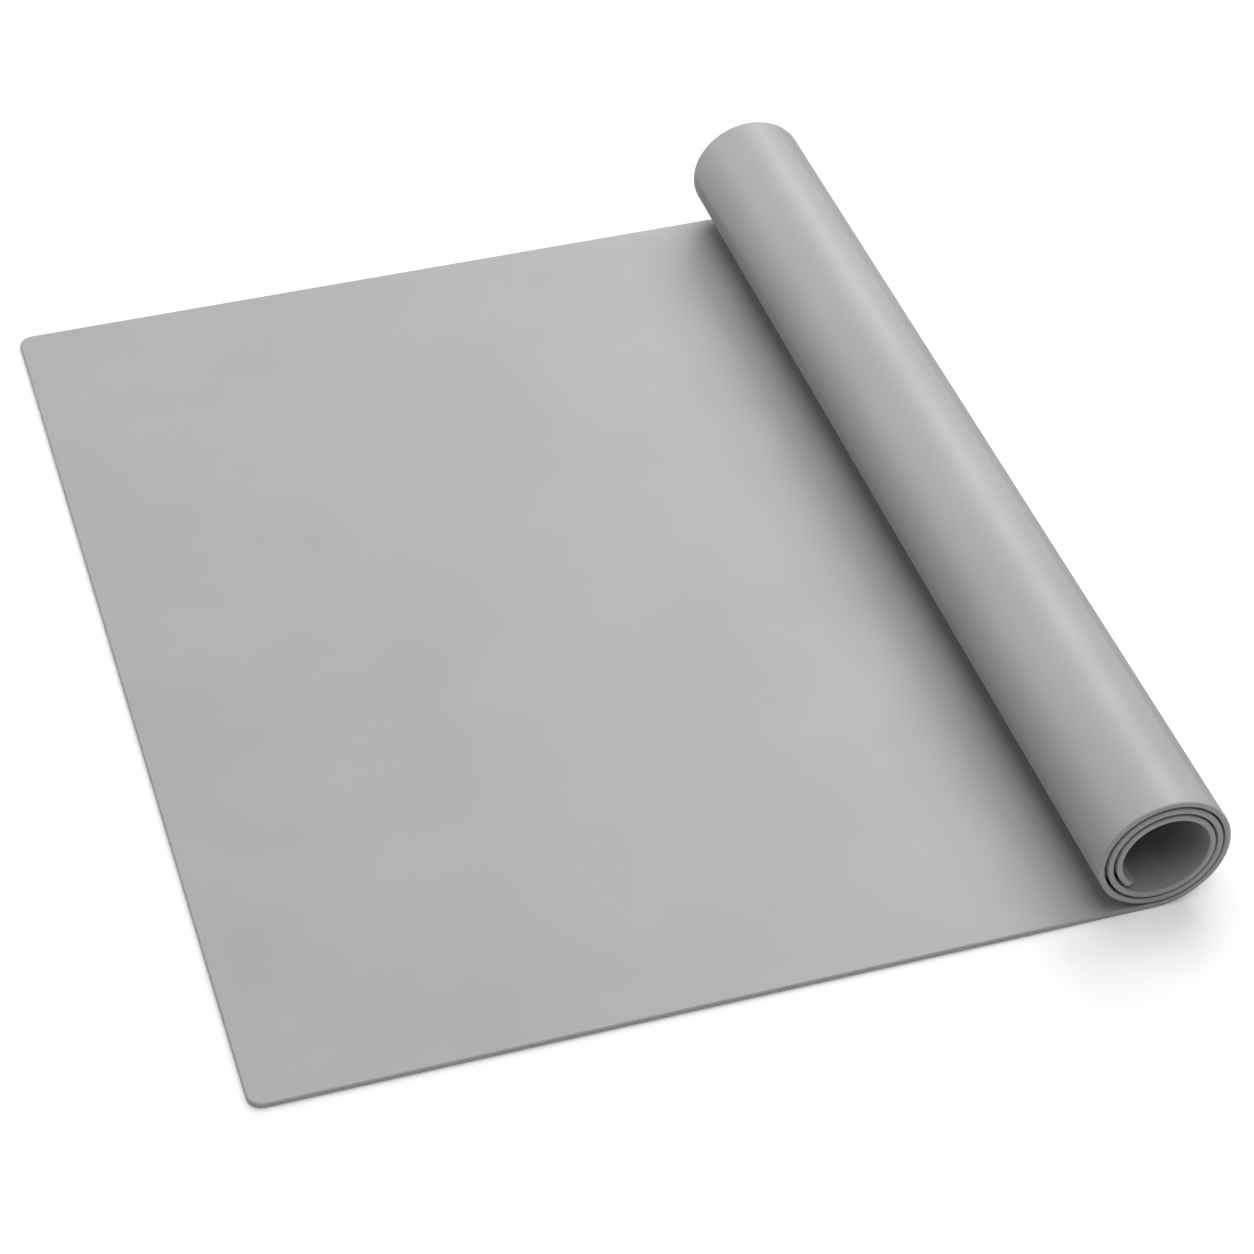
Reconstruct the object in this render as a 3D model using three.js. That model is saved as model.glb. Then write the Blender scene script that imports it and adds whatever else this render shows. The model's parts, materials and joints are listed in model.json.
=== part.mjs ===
// A silicone counter mat: one moulded sheet, lying flat at its left and rolled up at its right end.
// The sheet bends, so its rolled stretch is made as narrow rigid strips that meet at hinge lines.
// Millimetres, +Z up. +X runs along the sheet towards the roll, +Y across it towards the back.
import * as THREE from "three";

// The sheet as it was moulded
const MAT_LENGTH = 610;
const MAT_WIDTH = 400;
const THICKNESS = 2;
const CORNER_RADIUS = 5;
const RIM_RADIUS = 0.5;

// The roll. Its turns settle against each other on one side, at an angle counted from straight down and
// turning towards +X, and stand apart on the other.
const ROLL_OUTER_RADIUS = 22.7;
const LEAST_TURN_GAP = 0.42;
const WIDEST_TURN_GAP = 1;
const SETTLED_DEGREES = 60;

// Under its own weight the roll sags into an oval: half its width grows and half its height shrinks by the
// sag. The oval leans, as the sheet that it is wound from pulls it back on one side only.
const SAG = 0.5;
const LEAN_DEGREES = 15;
const STRIPS_PER_TURN = 12;
const STRIP_COUNT = 35;
const TURN_NAMES = ["outer", "middle", "inner", "fourth", "fifth", "sixth"];

// The cut between two strips, measured on the sheet's middle surface
const SLIT = 0.3;

// How finely round stretches are faceted
const FACETS_PER_STRIP = 4;
const CORNER_FACETS = 5;
const RIM_FACETS = 2;

// How many points of a strip's arc the gap between turns is measured on
const GAP_POINTS_PER_STRIP = 16;

const SILICONE = new THREE.MeshStandardMaterial({ color: 0xb0b0b0, roughness: 0.62, metalness: 0 });
SILICONE.name = "silicone";

// What follows from those sizes: the roll is drawn as with a compass, one arc to a strip. From turn to turn
// the radii get smaller, so that a full turn moves in by one pitch. They drop fastest where the turns
// settle, which moves the inner turns towards that side.
const HALF_WIDTH = MAT_WIDTH / 2;
const MIDDLE = THICKNESS / 2;
const PITCH = THICKNESS + (LEAST_TURN_GAP + WIDEST_TURN_GAP) / 2;
const UNEVENNESS = (WIDEST_TURN_GAP - LEAST_TURN_GAP) / PITCH;
const STRIP_ANGLE = (2 * Math.PI) / STRIPS_PER_TURN;
const SETTLED_ANGLE = THREE.MathUtils.degToRad(SETTLED_DEGREES);
const LEAN_ANGLE = THREE.MathUtils.degToRad(LEAN_DEGREES);

// How much smaller a strip's radius would be than the one before it if the roll did not sag
const spiralStep = (index) =>
  (PITCH / STRIPS_PER_TURN) * (1 + UNEVENNESS * Math.cos(index * STRIP_ANGLE - SETTLED_ANGLE));

// What the sag adds to a strip's radius. A half size that swings by the sag twice a turn takes a radius
// that swings by three times as much.
const sagSwing = (index) => 3 * SAG * Math.cos(2 * ((index + 0.5) * STRIP_ANGLE - LEAN_ANGLE));

// The radii of the strips' arcs on the sheet's middle surface
function stripRadii() {
  const radii = [];
  let spiral = ROLL_OUTER_RADIUS - MIDDLE;
  for (let index = 0; index < STRIP_COUNT; index += 1) {
    spiral -= index > 0 ? spiralStep(index) : 0;
    radii.push(spiral + sagSwing(index));
  }
  return radii;
}

const RADII = stripRadii();
const ROLLED_LENGTH = RADII.reduce((length, radius) => length + radius * STRIP_ANGLE, 0);
const FLAT_RUN = MAT_LENGTH - ROLLED_LENGTH;

// From a roll's centre to its surface, at an angle counted from straight down and turning towards +X
const spoke = (angle) => new THREE.Vector3(Math.sin(angle), 0, -Math.cos(angle));

// The centres of the arcs: each lies on the spoke where its strip begins, so that the arcs share a tangent
function arcCentres() {
  const centres = [new THREE.Vector3(FLAT_RUN, 0, MIDDLE + RADII[0])];
  for (let index = 1; index < STRIP_COUNT; index += 1) {
    const shift = spoke(index * STRIP_ANGLE).multiplyScalar(RADII[index - 1] - RADII[index]);
    centres.push(centres[index - 1].clone().add(shift));
  }
  return centres;
}

// The levels through the sheet, from its under face up: how deep in, and how far the round rim sets it back
function sheetLevels() {
  const under = [];
  for (let step = 0; step <= RIM_FACETS; step += 1) {
    const turn = (step / RIM_FACETS) * (Math.PI / 2);
    under.push({ depth: RIM_RADIUS * (1 - Math.cos(turn)), rim: RIM_RADIUS * (1 - Math.sin(turn)) });
  }
  const upper = under.map(({ depth, rim }) => ({ depth: THICKNESS - depth, rim })).reverse();
  return [...under, { depth: MIDDLE, rim: 0 }, ...upper];
}

const LEVELS = sheetLevels();

// Half the slit at a depth. Below the middle surface it widens, so that its two walls come to stand
// parallel, and still apart, when the sheet is laid flat.
const slitHalf = (depth) =>
  SLIT / 2 + Math.max(0, MIDDLE - depth) * Math.tan(STRIP_ANGLE / 2);

// A station is a pair of edge points, one on each side of the sheet, given for any level
const straightStation = (along) => ({ rim }) => ({ along, half: HALF_WIDTH - rim });

// The stations round a pair of corners, from the sheet's end (0 turn) to its straight sides
function cornerStations(end, inwards, radius) {
  const stations = [];
  for (let step = 0; step <= CORNER_FACETS; step += 1) {
    const turn = (step / CORNER_FACETS) * (Math.PI / 2);
    stations.push(({ rim }) => ({
      along: end + inwards * (radius - (radius - rim) * Math.cos(turn)),
      half: HALF_WIDTH - radius + (radius - rim) * Math.sin(turn),
    }));
  }
  return stations;
}

// One closed stretch of sheet through its stations; place turns sheet coordinates into a point
function sheetGeometry(stations, place) {
  const points = [];
  const faces = [];
  const quad = (a, b, c, d) => faces.push(a, b, c, a, c, d);
  const at = (level, station, back) => (level * stations.length + station) * 2 + back;
  const lastLevel = LEVELS.length - 1;
  const lastStation = stations.length - 1;

  for (const level of LEVELS) {
    for (const station of stations) {
      const { along, half } = station(level);
      points.push(place(along, -half, level.depth), place(along, half, level.depth));
    }
  }
  for (let s = 0; s < lastStation; s += 1) {
    quad(at(0, s, 0), at(0, s, 1), at(0, s + 1, 1), at(0, s + 1, 0));
    quad(at(lastLevel, s, 0), at(lastLevel, s + 1, 0), at(lastLevel, s + 1, 1), at(lastLevel, s, 1));
    for (let v = 0; v < lastLevel; v += 1) {
      quad(at(v, s, 0), at(v, s + 1, 0), at(v + 1, s + 1, 0), at(v + 1, s, 0));
      quad(at(v, s + 1, 1), at(v, s, 1), at(v + 1, s, 1), at(v + 1, s + 1, 1));
    }
  }
  for (let v = 0; v < lastLevel; v += 1) {
    quad(at(v, 0, 1), at(v, 0, 0), at(v + 1, 0, 0), at(v + 1, 0, 1));
    quad(at(v, lastStation, 0), at(v, lastStation, 1), at(v + 1, lastStation, 1), at(v + 1, lastStation, 0));
  }
  const geometry = new THREE.BufferGeometry().setFromPoints(points);
  geometry.setIndex(faces);
  geometry.computeVertexNormals();
  return geometry;
}

function sheetMesh(name, stations, place) {
  const mesh = new THREE.Mesh(sheetGeometry(stations, place), SILICONE);
  mesh.name = name;
  return mesh;
}

// The flat field, from the rounded left corners to the line where the roll lifts off
function flatField() {
  const liftLine = ({ depth, rim }) => ({ along: FLAT_RUN - slitHalf(depth), half: HALF_WIDTH - rim });
  const stations = [...cornerStations(0, 1, CORNER_RADIUS), liftLine];
  return sheetMesh("flat_field", stations, (along, y, depth) => new THREE.Vector3(along, y, depth));
}

// A strip of the roll is named by its turn and its place in that turn
function stripName(index) {
  const turn = TURN_NAMES[Math.floor(index / STRIPS_PER_TURN)];
  const place = String((index % STRIPS_PER_TURN) + 1).padStart(2, "0");
  return `${turn}_turn_${place}`;
}

function rollStrip(index, centre) {
  const radius = RADII[index];
  const length = radius * STRIP_ANGLE;
  const isFreeEnd = index === STRIP_COUNT - 1;
  const slitAlong = (depth) => (slitHalf(depth) * radius) / (radius + MIDDLE - depth);

  // The free end's corners take no more of the strip than lies past its first facet
  const facet = length / FACETS_PER_STRIP;
  const cornerRadius = Math.min(CORNER_RADIUS, length - facet);
  const straightEnd = isFreeEnd ? length - cornerRadius : length;

  const stations = [({ depth, rim }) => ({ along: slitAlong(depth), half: HALF_WIDTH - rim })];
  for (let along = facet; along < straightEnd - facet / 2; along += facet) {
    stations.push(straightStation(along));
  }
  if (isFreeEnd) {
    stations.push(...cornerStations(length, -1, cornerRadius).reverse());
  } else {
    stations.push(({ depth, rim }) => ({ along: length - slitAlong(depth), half: HALF_WIDTH - rim }));
  }

  return sheetMesh(stripName(index), stations, (along, y, depth) => {
    const angle = index * STRIP_ANGLE + along / radius;
    const point = spoke(angle).multiplyScalar(radius + MIDDLE - depth).add(centre);
    point.y = y;
    return point;
  });
}

// The least distance from the outer face of any strip to the inner face of a strip that it is rolled in,
// or to the flat field under it, measured on points of their arcs
function leastTurnGap(centres) {
  const face = (index, depth) => {
    const line = [];
    for (let step = 0; step <= GAP_POINTS_PER_STRIP; step += 1) {
      const angle = (index + step / GAP_POINTS_PER_STRIP) * STRIP_ANGLE;
      line.push(spoke(angle).multiplyScalar(RADII[index] + MIDDLE - depth).add(centres[index]));
    }
    return line;
  };
  const outer = centres.map((_, index) => face(index, 0));
  const inner = centres.map((_, index) => face(index, THICKNESS));
  const overFlatField = outer
    .slice(STRIPS_PER_TURN / 2)
    .flat()
    .filter((point) => point.x < FLAT_RUN);
  let least = Math.min(...overFlatField.map((point) => point.z - THICKNESS));
  for (let later = STRIPS_PER_TURN / 2; later < STRIP_COUNT; later += 1) {
    for (let earlier = 0; earlier <= later - STRIPS_PER_TURN / 2; earlier += 1) {
      for (const point of outer[later]) {
        least = Math.min(least, ...inner[earlier].map((other) => point.distanceTo(other)));
      }
    }
  }
  return least;
}

const centres = arcCentres();
const mat = new THREE.Group();
mat.add(flatField());
centres.forEach((centre, index) => mat.add(rollStrip(index, centre)));

// The origin: under the middle of the mat as it lies, on the surface that it rests on
const box = new THREE.Box3().setFromObject(mat);
const middle = box.getCenter(new THREE.Vector3());
mat.position.set(-middle.x, -middle.y, -box.min.z);

console.log(`flat run ${FLAT_RUN.toFixed(2)} mm, rolled length ${ROLLED_LENGTH.toFixed(2)} mm`);
console.log(`least gap between turns ${leastTurnGap(centres).toFixed(3)} mm`);

const part = new THREE.Group();
part.add(mat);

export default part;
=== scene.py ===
# %% [markdown]
# A silicone counter mat, part rolled
#
# The object is one moulded sheet of plain grey silicone, about the size of a baking tray. It lies flat at
# its left, and its right end is rolled up in nearly three turns. This lesson dresses the packed solids:
# each stretch of sheet is cut flat and then rolled by Geometry Nodes, and gets a silicone finish that runs
# on from stretch to stretch.

# %% Load the frame
import json
import math

import bpy
from mathutils import Matrix, Vector


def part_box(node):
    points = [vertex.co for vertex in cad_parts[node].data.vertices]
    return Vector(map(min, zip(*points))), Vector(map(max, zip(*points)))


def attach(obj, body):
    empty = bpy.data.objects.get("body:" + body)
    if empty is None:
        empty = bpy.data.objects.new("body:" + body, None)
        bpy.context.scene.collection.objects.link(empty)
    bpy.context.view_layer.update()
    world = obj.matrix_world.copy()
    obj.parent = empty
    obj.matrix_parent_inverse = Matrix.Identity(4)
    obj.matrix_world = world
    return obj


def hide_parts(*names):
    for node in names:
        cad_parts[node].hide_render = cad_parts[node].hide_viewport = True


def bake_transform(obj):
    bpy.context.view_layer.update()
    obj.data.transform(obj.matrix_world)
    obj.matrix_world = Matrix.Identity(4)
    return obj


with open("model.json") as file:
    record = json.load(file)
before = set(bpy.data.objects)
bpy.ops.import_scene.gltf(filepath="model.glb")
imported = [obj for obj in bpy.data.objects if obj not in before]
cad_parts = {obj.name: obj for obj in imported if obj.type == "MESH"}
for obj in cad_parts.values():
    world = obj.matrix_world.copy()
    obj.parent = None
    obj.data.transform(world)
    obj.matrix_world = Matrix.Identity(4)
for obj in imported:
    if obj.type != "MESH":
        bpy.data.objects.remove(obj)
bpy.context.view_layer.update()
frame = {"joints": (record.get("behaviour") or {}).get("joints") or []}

# %% [markdown]
# Sizes
#
# A piece that is measured twice will differ somewhere. So the width, the thickness and every hinge line
# come from the frame. Only three sizes are written here: the length the sheet was moulded to, the radius
# of its corners, and that of its rim, which is a little rounder here than on the solids.

# %% Read the sheet
SHEET_LENGTH = 0.610
CORNER_RADIUS = 0.005
RIM_RADIUS = 0.00075

field_low, field_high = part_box("flat_field")
WIDTH = field_high.y - field_low.y
THICKNESS = field_high.z - field_low.z
print(f"sheet {SHEET_LENGTH:.3f} x {WIDTH:.3f} x {THICKNESS:.4f} m")

# %% [markdown]
# The hinge lines lie on the sheet's middle surface, and between two of them the sheet turns by the same
# angle each time. Two points and that angle give the radius of the arc between them. The last arc ends
# at the free end, so its length is what is left of the sheet.

# %% Read the roll
joints = frame["joints"]
hinges = [Vector(joint["pos_m"]) for joint in joints]
BEND = math.radians(joints[1]["range_deg"][1])

radii = [(b - a).length / (2 * math.sin(BEND / 2)) for a, b in zip(hinges, hinges[1:])]
FLAT_RUN = hinges[0].x - field_low.x
free_length = SHEET_LENGTH - FLAT_RUN - BEND * sum(radii)
radii.append(free_length / BEND)

# How far along the sheet each hinge line is, and the sheet's end
marks = [FLAT_RUN]
for radius in radii:
    marks.append(marks[-1] + radius * BEND)
print(f"flat for {FLAT_RUN:.4f} m, then {len(radii)} arcs of radius {radii[0]:.4f} to {radii[-1]:.4f} m")

# %% [markdown]
# Formulas as nodes
#
# A node tree is arithmetic drawn with boxes. Written box by box it is long and hard to check, so this
# small class lets Python's own signs make the boxes: adding two fields puts a Math node in the tree.


# %% Arithmetic with sockets
def feed(tree, socket, value):
    """Gives a socket a plain value, or a link to a field."""
    if isinstance(value, Field):
        tree.links.new(value.socket, socket)
    else:
        socket.default_value = value


def put(tree, kind, values=(), **settings):
    """A new node with its settings made and its first inputs filled in order."""
    node = tree.nodes.new(kind)
    for name, value in settings.items():
        setattr(node, name, value)
    for socket, value in zip(node.inputs, values):
        feed(tree, socket, value)
    return node


class Field:
    """A number that may differ from point to point: the output socket of a node."""

    def __init__(self, socket):
        self.socket = socket
        self.tree = socket.id_data

    def calc(self, operation, *values, clamp=False):
        node = put(self.tree, "ShaderNodeMath", values, operation=operation, use_clamp=clamp)
        return Field(node.outputs[0])

    def __add__(self, other):
        return self.calc("ADD", self, other)

    def __sub__(self, other):
        return self.calc("SUBTRACT", self, other)

    def __mul__(self, other):
        return self.calc("MULTIPLY", self, other)

    def __truediv__(self, other):
        return self.calc("DIVIDE", self, other)

    def __radd__(self, other):
        return self.calc("ADD", other, self)

    def __rsub__(self, other):
        return self.calc("SUBTRACT", other, self)

    def __rmul__(self, other):
        return self.calc("MULTIPLY", other, self)

    def sin(self):
        return self.calc("SINE", self)

    def cos(self):
        return self.calc("COSINE", self)

    def over(self, other):
        """1 where this field is greater than the other, and 0 elsewhere."""
        return self.calc("GREATER_THAN", self, other)

    def least(self, other):
        return self.calc("MINIMUM", self, other)

    def most(self, other):
        return self.calc("MAXIMUM", self, other)

    def share(self):
        """This field held between 0 and 1."""
        return self.calc("ADD", self, 0.0, clamp=True)


def parts_of(vector):
    """The x, y and z of a vector field."""
    node = put(vector.tree, "ShaderNodeSeparateXYZ", [vector])
    return [Field(socket) for socket in node.outputs]


def vector_of(x, y, z):
    return Field(put(x.tree, "ShaderNodeCombineXYZ", [x, y, z]).outputs[0])


print("formulas can be written with + - * /")

# %% [markdown]
# Every tree here needs inputs with names, a way to remember a value on the mesh, and the same ending:
# smooth shading, exact normals, Realize Instances and Set Material. The normals matter. The round of the
# rim is less than a millimetre wide, and averaged normals would bleed it far across the broad face.
# They would also show a faint line wherever two stretches meet.

# %% Helpers for the trees
PLACE = "sheet_place"
OUTWARD = "sheet_outward"
SOCKETS = {float: "NodeSocketFloat", int: "NodeSocketInt", Vector: "NodeSocketVector"}


def new_tree(name, inputs):
    """A tree with a mesh and a material coming in, the named inputs, and a mesh going out."""
    tree = bpy.data.node_groups.new(name, "GeometryNodeTree")
    tree.interface.new_socket("Mesh", in_out="INPUT", socket_type="NodeSocketGeometry")
    tree.interface.new_socket("Mesh", in_out="OUTPUT", socket_type="NodeSocketGeometry")
    tree.interface.new_socket("Material", in_out="INPUT", socket_type="NodeSocketMaterial")
    for title, kind in inputs.items():
        tree.interface.new_socket(title, in_out="INPUT", socket_type=SOCKETS[kind])
    given = tree.nodes.new("NodeGroupInput")
    return tree, {socket.name: Field(socket) for socket in given.outputs if socket.name}


def remember(tree, mesh, name, vector):
    """Stores a vector on every point of the mesh under a name."""
    node = put(tree, "GeometryNodeStoreNamedAttribute", [mesh], data_type="FLOAT_VECTOR", domain="POINT")
    node.inputs["Name"].default_value = name
    feed(tree, node.inputs["Value"], vector)
    return Field(node.outputs[0])


def recall(tree, name):
    node = put(tree, "GeometryNodeInputNamedAttribute", [name], data_type="FLOAT_VECTOR")
    return Field(node.outputs[0])


def move(tree, mesh, position):
    node = put(tree, "GeometryNodeSetPosition", [mesh])
    feed(tree, node.inputs["Position"], position)
    return Field(node.outputs[0])


def end_tree(tree, mesh, outward, material):
    """Smooth faces, the given normals, and the two nodes that the export needs."""
    smooth = put(tree, "GeometryNodeSetShadeSmooth", [mesh])
    normals = put(tree, "GeometryNodeSetMeshNormal", [Field(smooth.outputs[0])], mode="TANGENT_SPACE")
    feed(tree, normals.inputs["Custom Normal"], outward)
    real = put(tree, "GeometryNodeRealizeInstances", [Field(normals.outputs[0])])
    painted = put(tree, "GeometryNodeSetMaterial", [Field(real.outputs[0])])
    feed(tree, painted.inputs["Material"], material)
    result = tree.nodes.new("NodeGroupOutput")
    tree.links.new(painted.outputs[0], result.inputs["Mesh"])
    return tree


print("tree helpers ready")

# %% [markdown]
# Cutting a stretch of sheet
#
# A stretch of sheet could be an extruded outline with bevelled edges, but a bevel leaves its own idea of
# the corners. Here a block of quads is the start. Its points are counted three ways: in rings along the
# sheet, columns across it and levels through it. A formula then gives each count its place, which makes
# the round rim, the round corners of a free end, and at a cut end a short lap that lies just under
# the next stretch, so that no gap opens there when the mat is unrolled.

# %% The tree that cuts a stretch
QUARTER_TURN = math.pi / 2
CUT_INPUTS = {
    "Start": float, "End": float, "Start Corner": float, "End Corner": float,
    "Start Rings": int, "Body Rings": int, "End Rings": int, "Columns": int, "Rim Rings": int,
    "Width": float, "Thickness": float, "Rim Radius": float, "Lap": float, "Tuck": float,
}


def count_points(tree, columns, rings, levels):
    """A block of quads, and for each of its points the ring, the level and the place across it."""
    block = put(tree, "GeometryNodeMeshCube", [(1, 1, 1), rings, columns + 1, levels])
    position = Field(tree.nodes.new("GeometryNodeInputPosition").outputs[0])
    along, across, up = parts_of(position)
    ring = along.calc("ROUND", (along + 0.5) * (rings - 1))
    level = up.calc("ROUND", (up + 0.5) * (levels - 1))
    return Field(block.outputs["Mesh"]), ring, 2 * across, level


def end_zone(rings_past, rings, corner, lap, tuck):
    """How a stretch ends: the lean round a free corner, or the reach and tuck of a lap at a cut."""
    is_free = corner.over(0)
    is_cut = 1 - is_free
    lean = (rings_past / rings).share() * QUARTER_TURN * is_free
    reach = (rings_past - 1).share() * lap * is_cut
    return lean, reach, rings_past.share() * tuck * is_cut


def make_cut_tree():
    tree, size = new_tree("Cut stretch", CUT_INPUTS)
    rings = size["Start Rings"] + size["Body Rings"] + size["End Rings"] + 1
    levels = 2 * size["Rim Rings"] + 2
    block, ring, across, level = count_points(tree, size["Columns"], rings, levels)

    # Through the sheet: the rim turns from each broad face to the side
    turn = level.least(levels - 1 - level) / size["Rim Rings"] * QUARTER_TURN
    drop = size["Rim Radius"] * (1 - turn.cos())
    set_back = size["Rim Radius"] * (1 - turn.sin())
    is_top = (level * 2).over(levels - 1)
    depth = drop + is_top * (size["Thickness"] - 2 * drop)

    # Along the sheet: the body between the two ends, then what each end adds
    lap, tuck = size["Lap"], size["Tuck"]
    first, last = size["Start Corner"], size["End Corner"]
    body = ring - size["Start Rings"]
    lean_1, reach_1, tuck_1 = end_zone(0 - body, size["Start Rings"], first, lap, tuck)
    lean_2, reach_2, tuck_2 = end_zone(body - size["Body Rings"], size["End Rings"], last, lap, tuck)
    share = (body / size["Body Rings"]).share()
    straight = (size["Start"] + first) * (1 - share) + (size["End"] - last) * share
    corner = (last - set_back) * lean_2.sin() - (first - set_back) * lean_1.sin()
    along = straight + corner + reach_2 - reach_1

    # Across the sheet: corners draw the sides in
    drawn_in = (first - set_back) * (1 - lean_1.cos()) + (last - set_back) * (1 - lean_2.cos())
    tucked = tuck_1.most(tuck_2)
    half = size["Width"] / 2 - set_back - drawn_in - tucked
    depth = depth.most(tucked).least(size["Thickness"] - tucked)
    place = vector_of(along, across * half, depth)

    # Straight out of the surface, before the sheet is rolled
    side = across.calc("SIGN", across) * lean_1.cos() * lean_2.cos()
    endwise = lean_2.sin() - lean_1.sin()
    outward = vector_of(endwise * turn.sin(), side * turn.sin(), (2 * is_top - 1) * turn.cos())

    mesh = remember(tree, block, PLACE, place)
    mesh = remember(tree, mesh, OUTWARD, outward)
    mesh = move(tree, mesh, recall(tree, PLACE))
    return end_tree(tree, mesh, recall(tree, OUTWARD), size["Material"])


CUT_TREE = make_cut_tree()
print(CUT_TREE.name, "has", len(CUT_TREE.nodes), "nodes")

# %% [markdown]
# Rolling a stretch
#
# A real mat is moulded flat and bends when it is rolled. The second tree does the same: it takes the
# place that each point had on the flat sheet and wraps it on an arc. The arc before the hinge line and
# the arc after it have slightly different radii, but they share a tangent there, as a compass-drawn
# spiral does. The middle surface keeps its length, the outer face stretches and the inner one shortens.

# %% The tree that rolls a stretch
ROLL_INPUTS = {
    "Hinge Mark": float, "Hinge Place": Vector, "Hinge Angle": float,
    "Radius Before": float, "Radius After": float, "Thickness": float,
}


def make_roll_tree():
    tree, size = new_tree("Roll stretch", ROLL_INPUTS)
    mark, across, depth = parts_of(recall(tree, PLACE))
    hinge_x, _, hinge_z = parts_of(size["Hinge Place"])
    start_angle = size["Hinge Angle"]

    past = mark - size["Hinge Mark"]
    before, after = size["Radius Before"], size["Radius After"]
    radius = before + past.over(0) * (after - before)
    angle = start_angle + past / radius
    reach = radius + size["Thickness"] / 2 - depth
    x = hinge_x - radius * start_angle.sin() + reach * angle.sin()
    z = hinge_z + radius * start_angle.cos() - reach * angle.cos()

    out_x, out_y, out_z = parts_of(recall(tree, OUTWARD))
    turned_x = out_x * angle.cos() - out_z * angle.sin()
    turned_z = out_x * angle.sin() + out_z * angle.cos()

    mesh = remember(tree, size["Mesh"], OUTWARD, vector_of(turned_x, out_y, turned_z))
    mesh = move(tree, mesh, vector_of(x, across, z))
    return end_tree(tree, mesh, recall(tree, OUTWARD), size["Material"])


ROLL_TREE = make_roll_tree()
print(ROLL_TREE.name, "has", len(ROLL_TREE.nodes), "nodes")

# %% [markdown]
# The silicone
#
# Silicone from an etched mould is satin rather than glossy: the light spreads into a broad soft band on
# the roll. A smooth plastic would mirror the white floor along the roll's edge. The etched skin does not,
# so the gloss fades where it is seen at a glancing angle, which Layer Weight tells. Close up the skin has
# a fine grain, the pigment is very slightly cloudy, and hands leave patches that shine a little more or
# less. These patterns read the place on the flat sheet, not the place in space, so they run on across
# the stretches and stay with the sheet when it bends.

# %% The silicone's material
SILICONE_GREY = (0.44, 0.44, 0.44, 1)
CLOUD_GREY = (0.415, 0.415, 0.415, 1)
CLOUD_SIZE = 0.070
CLOUD_DETAIL = 4
CLOUD_SPAN = (0.35, 0.65)

PATCH_SIZE = 0.028
PATCH_DETAIL = 3
PATCH_SPAN = (0.3, 0.7)
ROUGHNESS_SPAN = (0.36, 0.44)

GRAIN_SIZE = 0.00045
GRAIN_DETAIL = 2
GRAIN_HEIGHT = 0.000012

SILICONE_IOR = 1.41
SPECULAR = 0.5
GLANCING_SPECULAR = 0.0
GLANCING_SPAN = (0.5, 0.7)


def noise_at(tree, place, size, detail):
    """A cloudy pattern with features of about the given size."""
    node = put(tree, "ShaderNodeTexNoise")
    feed(tree, node.inputs["Vector"], place)
    node.inputs["Scale"].default_value = 1 / size
    node.inputs["Detail"].default_value = detail
    return Field(node.outputs["Fac"])


def map_range(field, span, to_span):
    """The field carried over from one span of values to another, and held at its ends."""
    node = put(field.tree, "ShaderNodeMapRange", [field, *span, *to_span])
    return Field(node.outputs["Result"])


def mix_colours(factor, first, second):
    """The first colour where the factor is 0, and the second where it is 1."""
    node = put(factor.tree, "ShaderNodeMix", [factor], data_type="RGBA")
    sockets = {socket.identifier: socket for socket in [*node.inputs, *node.outputs]}
    sockets["A_Color"].default_value = first
    sockets["B_Color"].default_value = second
    return Field(sockets["Result_Color"])


def make_silicone():
    material = bpy.data.materials.new("silicone")
    material.use_nodes = True
    tree = material.node_tree
    shader = tree.nodes["Principled BSDF"]
    place = Field(put(tree, "ShaderNodeAttribute", attribute_name=PLACE).outputs["Vector"])

    cloud = map_range(noise_at(tree, place, CLOUD_SIZE, CLOUD_DETAIL), CLOUD_SPAN, (0, 1))
    feed(tree, shader.inputs["Base Color"], mix_colours(cloud, SILICONE_GREY, CLOUD_GREY))

    patch = noise_at(tree, place, PATCH_SIZE, PATCH_DETAIL)
    feed(tree, shader.inputs["Roughness"], map_range(patch, PATCH_SPAN, ROUGHNESS_SPAN))

    facing = Field(put(tree, "ShaderNodeLayerWeight").outputs["Facing"])
    gloss = map_range(facing, GLANCING_SPAN, (SPECULAR, GLANCING_SPECULAR))
    feed(tree, shader.inputs["Specular IOR Level"], gloss)
    shader.inputs["IOR"].default_value = SILICONE_IOR

    bump = put(tree, "ShaderNodeBump")
    bump.inputs["Distance"].default_value = GRAIN_HEIGHT
    feed(tree, bump.inputs["Height"], noise_at(tree, place, GRAIN_SIZE, GRAIN_DETAIL))
    feed(tree, shader.inputs["Normal"], Field(bump.outputs["Normal"]))
    return material


SILICONE = make_silicone()
print(SILICONE.name, "has", len(SILICONE.node_tree.nodes), "nodes")

# %% [markdown]
# Making the stretches
#
# The mesh that a modifier makes is only there while Blender evaluates it, so each stretch is turned into a
# plain mesh as soon as it is made.

# %% How a stretch is made
LAP = 0.0004
TUCK = 0.00004
LAP_RINGS = 2
CORNER_RINGS = 10
ROLL_RINGS = 32
FIELD_RINGS = 24
COLUMNS = 16
RIM_RINGS = 4


def add_tree(piece, tree, values):
    """A Geometry Nodes modifier with its inputs set by their identifiers."""
    modifier = piece.modifiers.new(tree.name, "NODES")
    modifier.node_group = tree
    for item in tree.interface.items_tree:
        if item.in_out == "INPUT" and item.name in values:
            modifier[item.identifier] = values[item.name]


def make_plain(piece):
    """Turns what the modifiers make into the piece's own mesh."""
    graph = bpy.context.evaluated_depsgraph_get()
    mesh = bpy.data.meshes.new_from_object(
        piece.evaluated_get(graph), preserve_all_data_layers=True, depsgraph=graph)
    piece.modifiers.clear()
    piece.data = mesh
    mesh.name = piece.name
    mesh.attributes.remove(mesh.attributes[OUTWARD])


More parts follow.
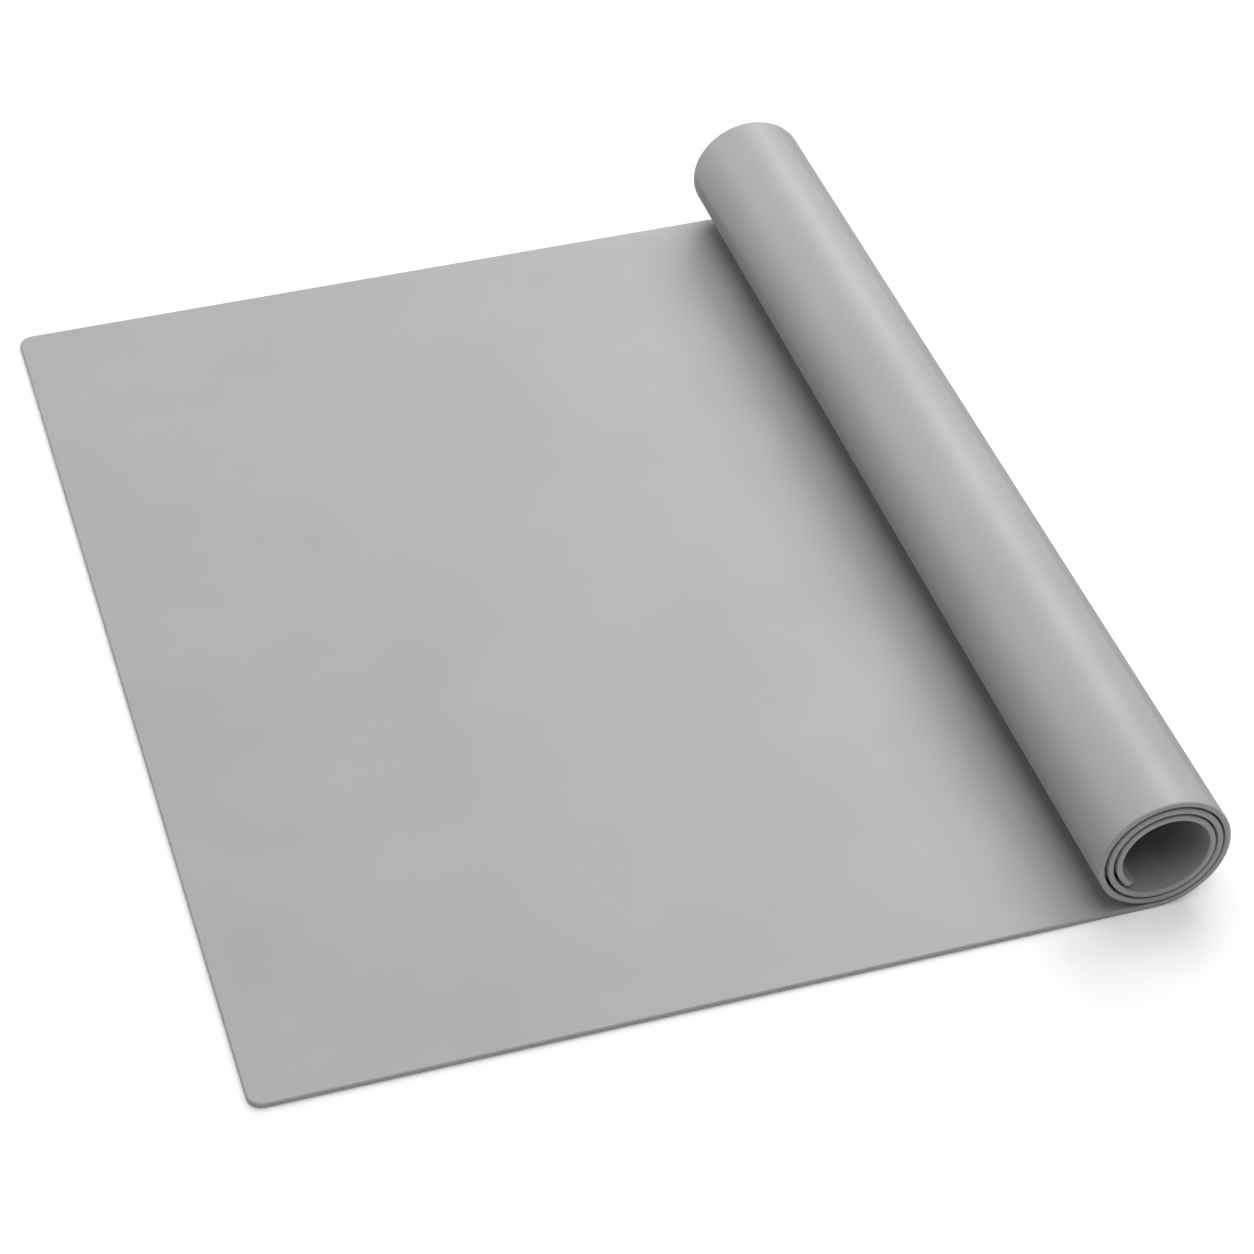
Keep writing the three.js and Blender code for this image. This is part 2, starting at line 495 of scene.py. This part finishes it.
def make_stretch(name, start, end, body_rings, start_corner=0.0, end_corner=0.0, roll=None):
    """A stretch of sheet between two marks, rolled if it is told how."""
    piece = bpy.data.objects.new(name, bpy.data.meshes.new(name))
    bpy.context.scene.collection.objects.link(piece)
    add_tree(piece, CUT_TREE, {
        "Material": SILICONE,
        "Start": start, "End": end, "Start Corner": start_corner, "End Corner": end_corner,
        "Start Rings": CORNER_RINGS if start_corner else LAP_RINGS, "Body Rings": body_rings,
        "End Rings": CORNER_RINGS if end_corner else LAP_RINGS, "Columns": COLUMNS, "Rim Rings": RIM_RINGS,
        "Width": WIDTH, "Thickness": THICKNESS, "Rim Radius": RIM_RADIUS, "Lap": LAP, "Tuck": TUCK,
    })
    if roll:
        add_tree(piece, ROLL_TREE, {"Material": SILICONE, "Thickness": THICKNESS, **roll})
    make_plain(piece)
    return piece


print("stretches can be made")

# %% [markdown]
# The flat field
#
# This is the part of the mat that lies on the worktop, with the two rounded corners of its left end. It is
# cut to the mat's width by the length that lies flat.

# %% Make the flat field
field = make_stretch("sheet_flat_field", 0.0, FLAT_RUN, FIELD_RINGS, start_corner=CORNER_RADIUS)
field.data.transform(Matrix.Translation((field_low.x, 0, 0)))
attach(field, "flat_field")
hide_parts("flat_field")
print(field.name, "has", len(field.data.polygons), "faces")

# %% [markdown]
# Where the roll would bend
#
# Each stretch of the roll lies round one hinge line: from the middle of the strip before it to the middle
# of the strip after it. To come out flat when the mat unrolls, a point of the stretch would follow the
# strip before or the strip after by a share, since a point must turn by half the angle of its own arc: a
# quarter of the hinge's turn at the near end, three quarters at the far end. Here only the two points on
# the hinge's tangent are worked out, set so that a share rising smoothly between them would have those
# values, and those of the first bend are printed. No share is given to the stretches.

# %% Where a stretch bends
# How far along the bend the share is a quarter and a half, and where the lift line lies on the first bend
QUARTER_SHARE_AT = 0.3264
HALF_SHARE_AT = 0.5
LIFT_LINE_AT = 0.17


def bend_points(hinge, angle, near, far, near_at, far_at):
    """The start and end of a bend, from two points on the tangent and how far along the bend they are."""
    tangent = Vector((math.cos(angle), 0, math.sin(angle)))
    span = (far - near) / (far_at - near_at)
    start = near - near_at * span
    return hinge + tangent * start, hinge + tangent * (start + span)


def stretch_bend(index):
    half_chord = math.sin(BEND / 2)
    far = radii[index] * half_chord
    if index == 0:
        return bend_points(hinges[0], 0.0, 0.0, far, LIFT_LINE_AT, HALF_SHARE_AT)
    near = -radii[index - 1] * half_chord
    return bend_points(hinges[index], index * BEND, near, far, QUARTER_SHARE_AT, 1 - QUARTER_SHARE_AT)


print("first bend from", *[[round(v, 4) for v in point] for point in stretch_bend(0)])

# %% [markdown]
# The roll
#
# One function makes every stretch, so two stretches differ only in what the frame says of their hinge
# lines: the marks that they lie between, the angle and the two radii. The first begins at the lift line,
# where the flat field ends. The last is the sheet's free end, with its two rounded corners.


# %% Make the roll
def middle_of(index):
    return (marks[index] + marks[index + 1]) / 2


def roll_stretch(index):
    joint = joints[index]
    is_first = index == 0
    is_free_end = index == len(radii) - 1
    piece = make_stretch(
        "sheet_" + joint["child"],
        start=marks[0] if is_first else middle_of(index - 1),
        end=marks[-1] if is_free_end else middle_of(index),
        body_rings=ROLL_RINGS // 2 if is_first else ROLL_RINGS,
        end_corner=CORNER_RADIUS if is_free_end else 0.0,
        roll={
            "Hinge Mark": marks[index], "Hinge Place": hinges[index], "Hinge Angle": index * BEND,
            "Radius Before": radii[max(index - 1, 0)], "Radius After": radii[index],
        },
    )
    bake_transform(piece)
    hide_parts(joint["child"])
    return piece


roll = [roll_stretch(index) for index in range(len(radii))]
print(len(roll), "stretches of roll,", sum(len(piece.data.polygons) for piece in roll), "faces")

# %% [markdown]
# Floor
#
# The mat lies on a plain white surface that runs on into a white background. A floor lit until it is white
# would take so much light that the mat went pale too. So the floor and the world have a glow of their own,
# which only the camera and glossy reflections see, and the mat keeps its grey. The floor's glow is low
# round the mat, where the shadow has to show, and rises farther out, where the panels hardly reach.

# %% Floor and world
WHITE = (1, 1, 1, 1)
FLOOR_SIZE = 6.0
FLOOR_GREY = (0.85, 0.85, 0.85, 1)
FLOOR_GLOW = 0.28
GLOW_RISES_AT = 0.3
GLOW_FULL_AT = 1.8
AMBIENT = 0.10


def seen_directly(tree):
    """1 for the rays that show a background: straight to the camera, in a gloss or through glass."""
    path = tree.nodes.new("ShaderNodeLightPath")
    rays = [Field(path.outputs[name]) for name in ("Is Camera Ray", "Is Glossy Ray", "Is Transmission Ray")]
    return (rays[0] + rays[1] + rays[2]).share()


def make_floor():
    mesh = bpy.data.meshes.new("floor")
    reach = FLOOR_SIZE / 2
    corners = [(-reach, -reach, 0), (reach, -reach, 0), (reach, reach, 0), (-reach, reach, 0)]
    mesh.from_pydata(corners, [], [(0, 1, 2, 3)])
    floor = bpy.data.objects.new("floor", mesh)
    bpy.context.scene.collection.objects.link(floor)
    material = bpy.data.materials.new("white_floor")
    material.use_nodes = True
    tree = material.node_tree
    shader = tree.nodes["Principled BSDF"]
    shader.inputs["Base Color"].default_value = FLOOR_GREY
    shader.inputs["Roughness"].default_value = 1.0
    shader.inputs["Specular IOR Level"].default_value = 0.0
    shader.inputs["Emission Color"].default_value = WHITE
    coordinates = put(tree, "ShaderNodeTexCoord")
    length = put(tree, "ShaderNodeVectorMath", [Field(coordinates.outputs["Object"])], operation="LENGTH")
    away = Field(length.outputs["Value"])
    glow = map_range(away, (GLOW_RISES_AT, GLOW_FULL_AT), (FLOOR_GLOW, 1))
    feed(tree, shader.inputs["Emission Strength"], glow * seen_directly(tree))
    mesh.materials.append(material)


def make_world():
    world = bpy.data.worlds.new("studio")
    bpy.context.scene.world = world
    world.use_nodes = True
    background = world.node_tree.nodes["Background"]
    background.inputs["Color"].default_value = WHITE
    seen = seen_directly(world.node_tree)
    feed(world.node_tree, background.inputs["Strength"], AMBIENT + (1 - AMBIENT) * seen)


make_floor()
make_world()
print("floor and world made")

# %% [markdown]
# Light
#
# The light is that of a small studio with soft panels. One hangs overhead, in line with the roll: it lights
# the field evenly and leaves a soft dark crease where the roll meets it. A long one stands behind to the
# right, parallel to the roll, and draws the bright band along it. A weaker one behind to the left keeps the
# roll's left side from going black.


# %% Lamps
def add_panel(name, place, aim, width, length, watts):
    """A soft rectangular lamp that faces a point."""
    light = bpy.data.lights.new(name, "AREA")
    light.shape = "RECTANGLE"
    light.size = width
    light.size_y = length
    light.energy = watts
    lamp = bpy.data.objects.new(name, light)
    bpy.context.scene.collection.objects.link(lamp)
    lamp.location = place
    lamp.rotation_euler = (Vector(aim) - Vector(place)).to_track_quat("-Z", "Y").to_euler()


add_panel(
    "overhead_panel", place=(0.12, -0.10, 1.6), aim=(0.12, -0.10, 0),
    width=1.0, length=2.2, watts=17.2)
add_panel(
    "back_right_panel", place=(1.06, 1.30, 1.40), aim=(0.13, 1.30, 0.04),
    width=2.2, length=0.9, watts=24.5)
add_panel(
    "back_left_panel", place=(-1.04, 1.60, 0.98), aim=(0.13, 0, 0.04),
    width=1.2, length=1.2, watts=7.5)
print("three panels lit")

# %% [markdown]
# Camera
#
# The angle, the distance and the lens follow from the mat's straight edges: the left and right edges run
# together at a rate that only one distance gives, once the sheet's width is known.

# %% The camera
CAMERA_AIM = Vector((0.0148, -0.0239, 0.0))
CAMERA_AZIMUTH = math.radians(-17.09)
CAMERA_ELEVATION = math.radians(40.26)
CAMERA_DISTANCE = 1.185
CAMERA_LENS = 100.8
SENSOR_WIDTH = 36

level = math.cos(CAMERA_ELEVATION)
sideways = math.sin(CAMERA_AZIMUTH) * level
outwards = math.cos(CAMERA_AZIMUTH) * level
back = Vector((sideways, -outwards, math.sin(CAMERA_ELEVATION)))
camera = bpy.data.objects.new("camera", bpy.data.cameras.new("camera"))
bpy.context.scene.collection.objects.link(camera)
camera.data.sensor_width = SENSOR_WIDTH
camera.data.lens = CAMERA_LENS
camera.location = CAMERA_AIM + back * CAMERA_DISTANCE
camera.rotation_euler = (-back).to_track_quat("-Z", "Y").to_euler()
bpy.context.scene.camera = camera
bpy.context.scene.view_settings.view_transform = "Standard"
print("camera at", [round(v, 3) for v in camera.location])
